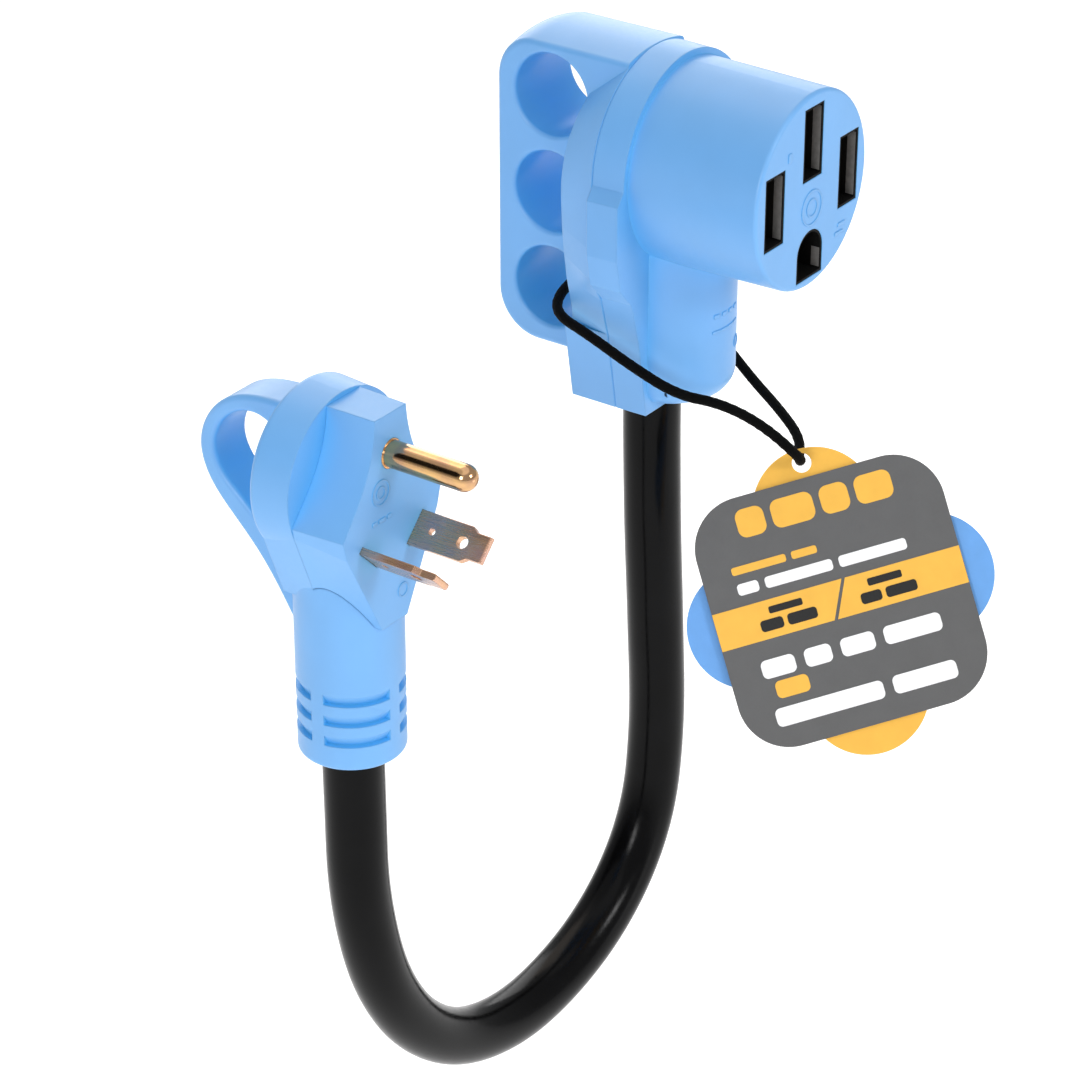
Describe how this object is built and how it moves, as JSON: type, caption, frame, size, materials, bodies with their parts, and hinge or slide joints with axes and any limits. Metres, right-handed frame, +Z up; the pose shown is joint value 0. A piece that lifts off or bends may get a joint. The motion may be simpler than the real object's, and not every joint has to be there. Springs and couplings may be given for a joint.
{
  "type": "power adapter dogbone",
  "caption": "Short cord adapter joining a round slotted outlet head with a finger-hole handle to a bladed plug head with a pull loop, with a hang tag on a lanyard.",
  "frame": {"origin": "centre of the top finger hole in the receptacle's handle, where it is held", "axes": "+Z up, -Y the way both heads face, X along the finger hole"},
  "size_m": [0.1587, 0.1216, 0.2335],
  "materials": {
    "sky_blue_plastic": "satin",
    "black_insulator": "matt",
    "brass": "satin",
    "zinc_steel": "plated",
    "black_wire": "smooth",
    "white_wire": "smooth",
    "green_wire": "smooth",
    "cord_jacket": "glossy",
    "lanyard_cord": "braided",
    "grey_card": "coated",
    "gold_card": "coated",
    "blue_card": "coated"
  },
  "bodies": {
    "receptacle": {"receptacle_front_shell": "sky_blue_plastic", "receptacle_rear_shell": "sky_blue_plastic", "receptacle_shell_screws": "zinc_steel", "contact_carrier": "black_insulator", "line_contact_x": "brass", "line_contact_y": "brass", "neutral_contact": "brass", "ground_contact": "brass", "hot_bridge": "brass", "terminal_screws": "zinc_steel", "cord_clamp": "black_insulator", "cord_clamp_screws": "zinc_steel", "receptacle_line_wire": "black_wire", "receptacle_neutral_wire": "white_wire", "receptacle_ground_wire": "green_wire", "power_cord": "cord_jacket"},
    "plug": {"plug_front_shell": "sky_blue_plastic", "plug_rear_shell": "sky_blue_plastic", "blade_carrier": "black_insulator", "line_blade": "brass", "neutral_blade": "brass", "ground_pin": "brass", "plug_line_wire": "black_wire", "plug_neutral_wire": "white_wire", "plug_ground_wire": "green_wire", "plug_cord_clamp": "black_insulator"},
    "lanyard": {"tag_lanyard": "lanyard_cord", "lanyard_ferrule": "zinc_steel"},
    "tag": {"tag_front_card": "grey_card", "tag_gold_card": "gold_card", "tag_blue_card": "blue_card"}
  },
  "joints": [
    {"name": "cord_flex", "type": "hinge", "parent": "receptacle", "child": "plug", "pos_m": [-0.051, -0.0208, -0.213], "axis": [0, 1, 0], "range_deg": [-20, 15], "deforming": ["power_cord"]},
    {"name": "lanyard_swing", "type": "hinge", "parent": "receptacle", "child": "lanyard", "pos_m": [0, 0, -0.0461], "axis": [1, 0, 0], "range_deg": [-6, 10]},
    {"name": "tag_swing", "type": "hinge", "parent": "lanyard", "child": "tag", "pos_m": [0.001, -0.0607, -0.0778], "axis": [-0.7161, -0.5088, 0.4778], "range_deg": [-25, 20]}
  ]
}
